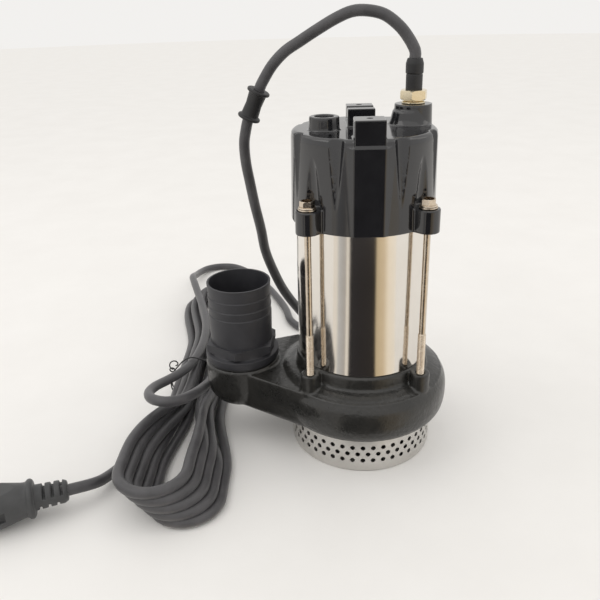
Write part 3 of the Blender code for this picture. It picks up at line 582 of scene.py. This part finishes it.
def hexagon(corner, bottom, top, chamfer, phase=0.0):
    """Hexagon whose corners a cone has taken off at both ends."""
    flat = corner * math.cos(math.pi / 6)
    bm = turned([(0, bottom), (corner, bottom), (corner, top), (0, top)], 6, phase)
    limit = turned([
        (0, bottom - 0.01), (flat, bottom - 0.01), (corner + 0.2, bottom + chamfer),
        (corner + 0.2, top - chamfer), (flat, top + 0.01), (0, top + 0.01),
    ], 72)
    return combine(bm, limit, "INTERSECT")


def smoothstep(value):
    value = min(1.0, max(0.0, value))
    return value * value * (3 - 2 * value)


def catmull(route, step):
    """Points a step apart along a smooth curve through a route."""
    points = [Vector(p) for p in route]
    points = [2 * points[0] - points[1]] + points + [2 * points[-1] - points[-2]]
    fine = []
    for before, start, end, after in zip(points, points[1:], points[2:], points[3:]):
        count = max(2, math.ceil((end - start).length / step))
        for i in range(count):
            t = i / count
            fine.append(0.5 * (
                2 * start + (end - before) * t + (2 * before - 5 * start + 4 * end - after) * t ** 2
                + (3 * start - before - 3 * end + after) * t ** 3
            ))
    fine.append(points[-2])
    return fine


# Cord

def spread(y):
    """Half distance between the inner strands: wide at both ends and narrow at the tie."""
    near = 1 - smoothstep((y - FRONT_WIDE_TO) / FRONT_NARROWING)
    far = 1 - smoothstep((BACK_Y + 0.5 - y) / BACK_NARROWING)
    return WAIST + (FRONT_R - WAIST) * near + (BACK_R - WAIST) * far


def strand_point(y, level, side):
    """Centre of a level's strand at a station, on the left (-1) or the right (+1).

    The fanned front bends close up towards the tie, and each strand rests on those wound before it.
    """
    bedded = smoothstep((y - BEDDING_FROM) / BEDDING_LENGTH)
    beds = LEFT_BEDS if side < 0 else RIGHT_BEDS
    below = []
    for lower in range(level + 1):
        out = spread(y) + side * (2 - lower) * LEAN * (1 - bedded) + beds[lower] * PITCH * bedded
        up = 0.0
        for other_out, other_up in below:
            across = abs(out - other_out)
            if across < PITCH:
                up = max(up, other_up + math.sqrt(PITCH ** 2 - across ** 2))
        below.append((out, up))
    out, up = below[-1]
    return Vector((HANK_X + side * out, y, LOWEST_Z + up))


def long_run(level, side):
    """Stations of a strand from its back bend to its front bend, with the steps in height eased."""
    count = 60
    raw = [strand_point(BACK_Y - (BACK_Y - FRONT_Y) * i / count, level, side) for i in range(count + 1)]
    eased = []
    for i, point in enumerate(raw):
        near = raw[max(0, i - 2):i + 3]
        eased.append(Vector((point.x, point.y, sum(q.z for q in near) / len(near))))
    return eased[::2]


def bend(centre_x, centre_y, radius, z, start, turn):
    """Half circle of cord, without its two ends."""
    angles = [start + turn * i / 14 for i in range(1, 14)]
    return [Vector((centre_x + radius * math.cos(a), centre_y + radius * math.sin(a), z)) for a in angles]


def hank_route():
    """The hank's strands in order: in on top of it, five turns down through it, and out below."""
    top_z = LOWEST_Z + 2 * PITCH
    route = [Vector((-163.5, 88, 34)), Vector((-169, 110, 29)), Vector((HANK_X + WAIST, 135, top_z))]
    route += [Vector((HANK_X + spread(y), y, top_z)) for y in (165, 195, 220, 245, 270, BACK_Y)]
    for level in range(TURNS - 1, -1, -1):
        radius = BACK_R + LEFT_BEDS[level] * PITCH
        route += bend(HANK_X, BACK_Y, radius, LOWEST_Z + BACK_LAYERS[level] * PITCH, 0.0, math.pi)
        route += long_run(level, -1)
        up = LOWEST_Z + level * math.sqrt(PITCH ** 2 - LEAN ** 2)
        route += bend(HANK_X + (2 - level) * LEAN, FRONT_Y, FRONT_R, up, math.pi, math.pi)
        route += long_run(level, 1)[::-1]
    route += bend(HANK_X, BACK_Y, BACK_R + 2 * PITCH, LOWEST_Z, 0.0, math.pi)
    for y in range(294, 40, -22):
        route.append(Vector((HANK_X - spread(y) - 2 * PITCH, y, LOWEST_Z)))
    return route + [Vector((-211.5, 18, LOWEST_Z)), Vector((-219.5, -8, LOWEST_Z))]


def tubes(name, lines, radius, resolution, mat):
    """Round tubes along lines of points, as one curve object."""
    curve = bpy.data.curves.new(name, "CURVE")
    curve.dimensions = "3D"
    curve.bevel_depth = radius * MM
    curve.bevel_resolution = resolution
    curve.use_fill_caps = True
    for points in lines:
        spline = curve.splines.new("POLY")
        spline.points.add(len(points) - 1)
        for target, point in zip(spline.points, points):
            target.co = (*(point * MM), 1.0)
        spline.use_smooth = True
    curve.materials.append(mat)
    obj = bpy.data.objects.new(name, curve)
    bpy.context.scene.collection.objects.link(obj)
    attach(obj, "housing")
    return obj


def lay_cord(mats):
    """One curve from inside the gland's sleeve to inside the plug's relief."""
    inside = [Vector((*GLAND, z)) for z in (358.0, 364.0, 370.5)]
    through_bobbin = Vector((-100.2, 36.5, 336.6))
    heading = Vector((math.cos(PLUG_HEADING), math.sin(PLUG_HEADING), 0))
    route = inside + ARCH_ROUTE + [through_bobbin] + FALL_ROUTE + hank_route() + LEAD_ROUTE[:-2]
    points = catmull(route + [LEAD_ROUTE[-1], Vector(LEAD_ROUTE[-1]) + heading * 8], CORD_STEP)
    cord = tubes("supply_cord", [points], CORD_R, 6, mats["cord"])
    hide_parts("cord_arch", "cord_fall", "cord_hank", "cord_lead")
    length = sum((b - a).length for a, b in zip(points, points[1:]))
    return cord, length * MM


# Strainer and pump end

def strainer(mats):
    """Sheet-metal basket: three staggered rows of punched round holes and a rolled lower edge."""
    outer, wall, holes, hole_r, half = 71.0, 1.2, 45, 2.35, 3.5
    rows = (13.0, 20.0, 27.0)
    columns = 2 * holes
    step = 2 * math.pi / columns
    bm = bmesh.new()
    radii = (outer, outer - wall)

    def ring(radius, z):
        angles = [i * step for i in range(columns)]
        return [bm.verts.new((radius * math.cos(a), radius * math.sin(a), z)) for a in angles]

    levels = [rows[0] - half] + [z + half for z in rows]
    edges = [[ring(radius, z) for z in levels] for radius in radii]
    for row, height in enumerate(rows):
        sides = [ring(radius, height) for radius in radii]
        for hole in range(holes):
            first = 2 * hole + row % 2
            middle = (first + 1) * step
            rims = []
            for radius, rings, side in zip(radii, edges, sides):
                low, high = rings[row], rings[row + 1]
                at = [(first + i) % columns for i in range(3)]
                border = [side[at[2]], high[at[2]], high[at[1]], high[at[0]]]
                border += [side[at[0]], low[at[0]], low[at[1]], low[at[2]]]
                rim = []
                for i in range(16):
                    turn = math.pi * i / 8
                    angle = middle + hole_r * math.cos(turn) / radius
                    z = height + hole_r * math.sin(turn)
                    rim.append(bm.verts.new((radius * math.cos(angle), radius * math.sin(angle), z)))
                for i in range(8):
                    j = (i + 1) % 8
                    bm.faces.new((border[i], border[j], rim[2 * j], rim[2 * i + 1], rim[2 * i]))
                rims.append(rim)
            for i in range(16):
                j = (i + 1) % 16
                bm.faces.new((rims[0][i], rims[0][j], rims[1][j], rims[1][i]))
    for unused in [vert for vert in bm.verts if not vert.link_faces]:
        bm.verts.remove(unused)

    def bridge(one, other):
        for i in range(columns):
            j = (i + 1) % columns
            bm.faces.new((one[i], one[j], other[j], other[i]))

    foot = [(outer - 2.2 + 2.2 * math.cos(a), 2.2 - 2.2 * math.sin(a)) for a in (0, 0.4, 0.8, 1.2, 1.57)]
    outer_rings = [edges[0][0]] + [ring(radius, z) for radius, z in foot]
    inner_rings = [edges[1][0]]
    inner_rings += [ring(radii[1] - 1.0 + math.cos(a), 3.9 - math.sin(a)) for a in (0, 0.8, 1.57)]
    for chain in (outer_rings, inner_rings):
        for one, other in zip(chain, chain[1:]):
            bridge(one, other)
    top = [ring(radii[0], 37.3), ring(radii[0] - 0.3, 37.7), ring(radii[1] + 0.3, 37.7), ring(radii[1], 37.3)]
    for one, other in zip([edges[0][-1]] + top, top + [edges[1][-1]]):
        bridge(one, other)
    bm.faces.new(outer_rings[-1])
    bm.faces.new(inner_rings[-1])
    for radius, degrees in POST_PLACES:
        x, y = polar(radius, degrees)
        bm = cut(bm, moved(turned([(0, -1), (5.1, -1), (5.1, 1.8), (2.7, 1.8), (2.7, 4), (0, 4)], 48), x, y))
    add_piece("strainer_basket", bm, mats["satin"], ["strainer"])


def cover(mats):
    """Suction cover with its raised eye and three posts, and the screws that hold the strainer."""
    bm = turned(softened([
        (22, 35.3), (27, 35.3), (30, 38.3), (65.7, 38.3), (65.7, 43.7), (25, 43.7), (22, 41.7),
    ], 1.2), 96)
    for radius, degrees in POST_PLACES:
        x, y = polar(radius, degrees)
        bm = joined(bm, moved(disc(6.0, 3.3, 39.3, 40), x, y))
        bm = cut(bm, moved(disc(2.5, 0, 16, 24), x, y))
    add_piece("suction_cover_casting", bm, mats["paint"], ["suction_cover"])
    head = turned(softened([(0, 0.2), (4.6, 0.5), (4.6, 1.5), (2.2, 1.5), (2.2, 14), (0, 14)], 0.3), 32)
    head = cut(head, box(-5, 5, -0.5, 0.5, -1, 0.9), box(-0.5, 0.5, -5, 5, -1, 0.9))
    for number, (radius, degrees) in enumerate(POST_PLACES, 1):
        x, y = polar(radius, degrees)
        add_piece(f"cover_screw_{number}", head.copy(), mats["bolt"],
                  [f"strainer_screw_{number}"], (x, y, 0))
    head.free()


def hull_outline(main_radius, end_radius, steps=26):
    """Outline of the round casing drawn out to the discharge: two arcs and their tangents."""
    distance = math.hypot(*OUTLET)
    toward = math.atan2(OUTLET[1], OUTLET[0])
    lean = math.acos((main_radius - end_radius) / distance)
    outline = []
    for i in range(2 * steps + 1):
        angle = toward + lean + (2 * math.pi - 2 * lean) * i / (2 * steps)
        outline.append((main_radius * math.cos(angle), main_radius * math.sin(angle)))
    for i in range(steps + 1):
        angle = toward - lean + 2 * lean * i / steps
        outline.append((OUTLET[0] + end_radius * math.cos(angle), OUTLET[1] + end_radius * math.sin(angle)))
    return outline


def rounded_edges(bm, width, level):
    edges = [e for e in bm.edges if all(abs(v.co.z - level) < 0.01 for v in e.verts)]
    bmesh.ops.bevel(bm, geom=edges, offset=width, segments=5, affect="EDGES", profile=0.5)
    return bm


def volute(mats):
    """Sand-cast scroll with soft edges, its outlet, the motor's collar and four bolt bosses."""
    bm = turned(softened([
        (0, 38), (75.5, 38), (80, 41), (83.5, 46), (VOLUTE_R - 0.2, 55), (VOLUTE_R, 66), (VOLUTE_R - 1, 73),
        (81.5, 79), (77, 82.5), (72, 84.5), (66, 86), (65, 88), (65, COLLAR_TOP), (0, COLLAR_TOP),
    ], 3.0), 144)
    neck = prism(hull_outline(81.0, 27.0), 40.5, NECK_TOP)
    neck = rounded_edges(rounded_edges(neck, 14, NECK_TOP), 6, 40.5)
    outlet = turned(softened([
        (0, 39), (24, 39), (31, 42), (36, 49), (38, 58), (38, 84), (0, 84),
    ], 3.0), 96)
    bm = joined(bm, neck, moved(outlet, *OUTLET))
    for radius, degrees in BOLT_PLACES:
        bm = joined(bm, moved(disc(9.0, 81, COLLAR_TOP - 1), *polar(radius, degrees)))
    bm = cut(
        bm, disc(66.0, 33, 44, 96), disc(58.0, 37, 74, 96), prism(hull_outline(57.5, 25.0), 49, 67),
        moved(disc(30.0, 65, 89, 96), *OUTLET), disc(56.0, 80, 105, 96), disc(18.0, 69, 85),
    )
    for radius, degrees in BOLT_PLACES:
        bm = cut(bm, moved(disc(BOLT_HOLE_R, 83, 105, 32), *polar(radius, degrees)))
    bm = cast(bm, 1.0, 9)
    add_piece("volute_casting", bm, mats["paint"], ["volute_casing"], crease=0)


# Motor

def barrel(mats):
    bm = turned(softened([(61.0, 100.3), (62.5, 100.3), (62.5, 237.7), (61.0, 237.7)], 0.4), 240)
    add_piece("barrel_tube", bm, mats["barrel"], ["motor_barrel"])


def cap(mats):
    """Enamelled cap: ears with spanner clearances, flutes between them, two lugs and two bosses."""
    bm = turned([
        (0, CAP_BOTTOM), (66.5, CAP_BOTTOM), (65.3, CAP_SHOULDER), (64.6, 318), (62.6, 319.7), (61, CAP_TOP),
        (0, CAP_TOP),
    ], 160)
    pad_outline = [(-12.5, -66.5), (13, -66.5), (20.5, -62.2), (20.5, -58), (-20, -58), (-20, -62.2)]
    bm = joined(bm, prism(pad_outline, CAP_BOTTOM, CAP_SHOULDER))
    clearance = [(0, EAR_TOP), (13, EAR_TOP), (11.5, 266), (9.6, 288), (7, 307), (0, 307)]
    for radius, degrees in BOLT_PLACES:
        bm = cut(bm, moved(turned(clearance, 64), *polar(radius, degrees)))
    flute = [(0, 258), (1.7, 258), (8.2, 322), (0, 322)]
    for face in range(0, 360, 90):
        for side in (-24.5, 24.5):
            bm = cut(bm, moved(turned(flute, 48), *polar(68.0, face + side)))
    root = CAP_SHOULDER - 2
    front_lug = box(-12.5, 13, -66, -43.5, root, LUG_TOP)
    rear_lug = box(-14.5, 10, -3, 33, root, LUG_TOP)
    gland_boss = turned([(0, root), (17.6, root), (16.8, GLAND_TOP), (0, GLAND_TOP)], 72)
    gland_skirt = turned([(0, root), (19.5, root), (19.5, CAP_TOP), (17.5, 324), (15.5, 332), (0, 332)], 72)
    vent_boss = turned([(0, root), (14.4, root), (13.7, CAP_TOP), (13.2, VENT_TOP), (0, VENT_TOP)], 64)
    bm = joined(
        bm, front_lug, rear_lug, moved(gland_skirt, GLAND[0] - 3, GLAND[1] - 2), moved(gland_boss, *GLAND),
        moved(vent_boss, *VENT),
    )
    for radius, degrees in BOLT_PLACES:
        rounded = [polar(EAR_R, -90 + 10 * i) for i in range(19)]
        ear = prism([(-20, -EAR_R)] + rounded + [(-20, EAR_R)], CAP_BOTTOM, EAR_TOP)
        bm = joined(bm, moved(spun(ear, math.radians(degrees)), *polar(radius, degrees)))
    bm = cut(
        bm, disc(58.0, 233, 310, 96), moved(disc(7.5, 306, 342), *GLAND), moved(disc(8.5, 322, 337), *VENT),
        moved(disc(2.4, 327, 341, 32), 0.5, -54), moved(disc(2.4, 327, 341, 32), -2.5, 25),
        box(-17, 13, 7, 16, 326, 341),
    )
    for radius, degrees in BOLT_PLACES:
        bm = cut(bm, moved(disc(BOLT_HOLE_R, 233, 264, 32), *polar(radius, degrees)))
    bm = cast(bm, 0.75, 4)
    add_piece("cap_casting", bm, mats["gloss"], ["top_cap"], crease=0)


def vent_screw(mats):
    plug = turned(softened([(0, 322.3), (8.2, 322.3), (8.2, 330.5), (0, 330.5)], 0.6), 64)
    plug = cut(plug, box(-3.5, 3.5, -3.5, 3.5, 326, 334))
    add_piece("vent_screw", plug, mats["gloss"], ["vent_plug"], (*VENT, 0), crease=40)


def bolts(mats):
    """Long tie bolts: rolled thread below, plain shank, and a flanged hexagon head on a washer."""
    thread_bottom, thread_top, pitch = 85.0, 139.0, 1.25
    rod = [(0, 84), (3.0, 84), (3.2, thread_bottom)]
    turns = int((thread_top - thread_bottom) / pitch)
    for i in range(turns):
        z = thread_bottom + i * pitch
        rod += [(3.15, z), (3.7, z + 0.4 * pitch), (3.7, z + 0.6 * pitch)]
    rod += [(3.15, thread_top), (3.0, thread_top + 1), (3.0, 262), (0, 262)]
    flange = turned(softened([(0, 261), (7.6, 261), (7.4, 262.2), (0, 262.4)], 0.4), 64)
    head = joined(hexagon(6.6, 261.5, 267.5, 0.9), flange)
    head = cut(head, disc(4.6, 267.0, 269, 48))
    for number, (radius, degrees) in enumerate(BOLT_PLACES, 1):
        x, y = polar(radius, degrees)
        bm = turned(rod, 40)
        turned_head = spun(head.copy(), 0.35 * number)
        add_piece(f"bolt_rod_{number}", bm, mats["bolt"], [f"tie_bolt_{number}"],
                  (x, y, 0))
        add_piece(f"bolt_head_{number}", turned_head, mats["bolt"], (), (x, y, 0))
        ring = turned(softened([(4.0, 259.3), (8.0, 259.3), (8.0, 260.7), (4.0, 260.7)], 0.4), 64)
        add_piece(f"bolt_washer_{number}", ring, mats["bolt"],
                  [f"tie_bolt_washer_{number}"], (x, y, 0))
    head.free()


# Discharge

def discharge(mats):
    """Moulded hose connector: collar, hexagon and a tail with shallow barbs, on its gasket."""
    ring = turned(softened([(31, 84.3), (37, 84.3), (37, 86), (31, 86)], 0.6), 120)
    add_piece("outlet_seal", ring, mats["rubber"], ["outlet_gasket"], (*OUTLET, 0))
    profile = [(27.6, 69), (29.7, 69), (29.7, 86.3), (37.6, 86.3), (37.6, 93.4), (33.4, 94.4), (31.3, 106)]
    for barb in (136, 144.5, 155):
        profile += [(32.0, barb - 0.4), (31.2, barb + 0.3)]
    profile += [(32.0, 168), (29.8, 168), (29.0, 112), (27.6, 102)]
    bm = turned(softened(profile, 0.5, 3), 160)
    bolt = hexagon(37.6, 95, 105.5, 1.7, math.radians(-95))
    bm = joined(bm, cut(bolt, disc(29.0, 90, 110, 96)))
    add_piece("hose_tail", bm, mats["plastic"], ["hose_connector"], (*OUTLET, 0))


# Cord fittings

def gland(mats):
    """Brass gland with a narrower neck below its hexagon, and a rubber sleeve in two steps."""
    body = turned(softened([
        (5.4, 316), (7.2, 316), (7.2, 337.8), (10.5, 337.8), (10.5, 339.2), (8.6, 340), (8.6, 341),
        (5.4, 341),
    ], 0.3), 64)
    add_piece("gland_base", body, mats["brass"], ["gland_body"], (*GLAND, 0))
    nut = cut(hexagon(12.8, 341, 349.4, 1.3, 0.25), disc(6.2, 335, 355))
    add_piece("gland_hexagon", nut, mats["brass"], ["gland_nut"], (*GLAND, 0))
    sleeve = turned(softened([
        (5.1, 344), (6.0, 344), (7.4, 349.6), (7.4, 362.4), (6.9, 363), (7.9, 363.8), (7.9, 372),
        (6.6, 376.5), (5.1, 376.5),
    ], 0.7), 64)
    add_piece("gland_relief", sleeve, mats["rubber"], ["gland_sleeve"], (*GLAND, 0))


def bobbin(mats):
    """Rubber spool on the cord: a flange at each end and a waisted body."""
    top = Vector(ARCH_ROUTE[-1])
    along = Vector(FALL_ROUTE[0]) - top
    length = along.length - 1.2
    bm = turned(softened([
        (4.9, 0), (10.4, 0), (11, 1.5), (10.6, 2.8), (8.4, 3.6), (7.6, length / 2), (8.4, length - 3.6),
        (10.6, length - 2.8), (11, length - 1.5), (10.4, length), (4.9, length),
    ], 0.7), 72)
    turn = along.to_track_quat("Z", "X").to_euler()
    return add_piece("cord_spool", bm, mats["rubber"], ["cord_bobbin"],
                     top + along.normalized() * 0.6, turn)


def wire(name, routes, radius, mat, nodes):
    """Thin wires as one mesh, each along a smooth route."""
    obj = tubes(name, [catmull(route, 1.5) for route in routes], radius, 3, mat)
    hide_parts(*nodes)
    return obj


def tie(mats):
    """Wire tie twice round the bundle, twisted on its left shoulder, with the two ends curled."""
    def hoop(y, skew):
        flat = [
            (-216, 12), (-216.2, 18), (-213.5, 25), (-207, 33), (-199, 41.5), (-190, 45.6), (-181, 44),
            (-172, 41.5), (-163, 42), (-153, 38), (-145.5, 26), (-144, 14), (-145.5, 4.5), (-151, 0.9),
            (-180, 0.9), (-208, 0.9), (-214.5, 4.5), (-216, 12),
        ]
        full = 2 * math.pi / (len(flat) - 1)
        return [(x, y + skew * math.sin(full * i), z) for i, (x, z) in enumerate(flat)]

    def curl(along, size, lift):
        points = []
        for i in range(13):
            angle = 0.5 * i
            across = -212 - size * math.sin(angle)
            up = 27 + lift + size * (1 - math.cos(angle))
            points.append(Vector((across, TIE_Y + along * i / 12, up)))
        return points

    routes = [hoop(TIE_Y - 2.2, 2.5), hoop(TIE_Y + 2.2, -2.5), curl(-7, 3.6, 0.0), curl(8, 4.4, 3.0)]
    return wire("wire_tie", routes, 0.75, mats["rubber"], ["twist_tie"])


def plug(mats):
    """Moulded two-pin plug: slotted relief, oval collar, and a body with a thumb recess each side."""
    heading = Vector((math.cos(PLUG_HEADING), math.sin(PLUG_HEADING), 0))
    start = Vector(LEAD_ROUTE[-1]) + heading * 0.6
    start.z = PLUG_Z
    turn = heading.to_track_quat("Z", "Y").to_euler()
    bm = turned(softened([
        (0, 0), (8.6, 0), (10.3, 3.2), (11.2, 26), (11.4, 28), (15.5, 28.4), (17.4, 30.2), (17.2, 33),
        (15.2, 34.6), (15.4, 38), (19.0, 54), (19.8, 60), (19.8, 72), (0, 72),
    ], 0.8), 96)
    for rib in range(3):
        for half_turn, shift in ((math.pi, 1.9), (0.0, -1.9)):
            z = 7.2 + 7.4 * rib + shift
            bm = cut(bm, spun(box(-20, 20, 3.2, 20, z - 1.3, z + 1.3), half_turn))
    bm = cut(bm, box(-30, 30, 16.6, 30, 36, 80), box(-30, 30, -30, -16.6, 36, 80))
    for half_turn in (math.pi, 0.0):
        bm = cut(bm, spun(box(14.8, 30, -4.6, 4.6, 52, 69), half_turn))
    bm = cast(bm, 0.55, 4)
    return add_piece("mains_plug", bm, mats["plug"], ["plug"], start, turn, crease=0)


def cord_set(mats):
    """The cord and what is on it, made together and gathered in a list."""
    piece, length = lay_cord(mats)
    pieces = [bobbin(mats), tie(mats), plug(mats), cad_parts["plug_pin_a"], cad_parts["plug_pin_b"]]


# CAD nodes that stay, with better materials

KEPT = {
    "iron": ["impeller"],
    "bolt": ["impeller_nut", "plug_pin_a", "plug_pin_b"],
    "ceramic": ["seal_seat"],
    "steel": ["seal_rotating_ring", "shaft", "lower_bearing_outer_race", "lower_bearing_inner_race",
              "upper_bearing_outer_race", "upper_bearing_inner_race"],
    "aluminium": ["bearing_bracket", "upper_bracket"],
    "rubber": ["o_ring_lower", "o_ring_upper"],
    "laminated": ["stator_core", "rotor_core"],
    "copper": ["stator_winding_lower", "stator_winding_upper"],
    "case": ["capacitor"],
}


def finish_kept_nodes(mats):
    for key, names in KEPT.items():
        for name in names:
            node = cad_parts[name]
            node.data.materials.clear()
            node.data.materials.append(mats[key])


make_camera()
mats = make_materials()
make_light()
make_stage()
cord_set(mats)
strainer(mats)
cover(mats)
volute(mats)
barrel(mats)
cap(mats)
vent_screw(mats)
bolts(mats)
discharge(mats)
gland(mats)
finish_kept_nodes(mats)
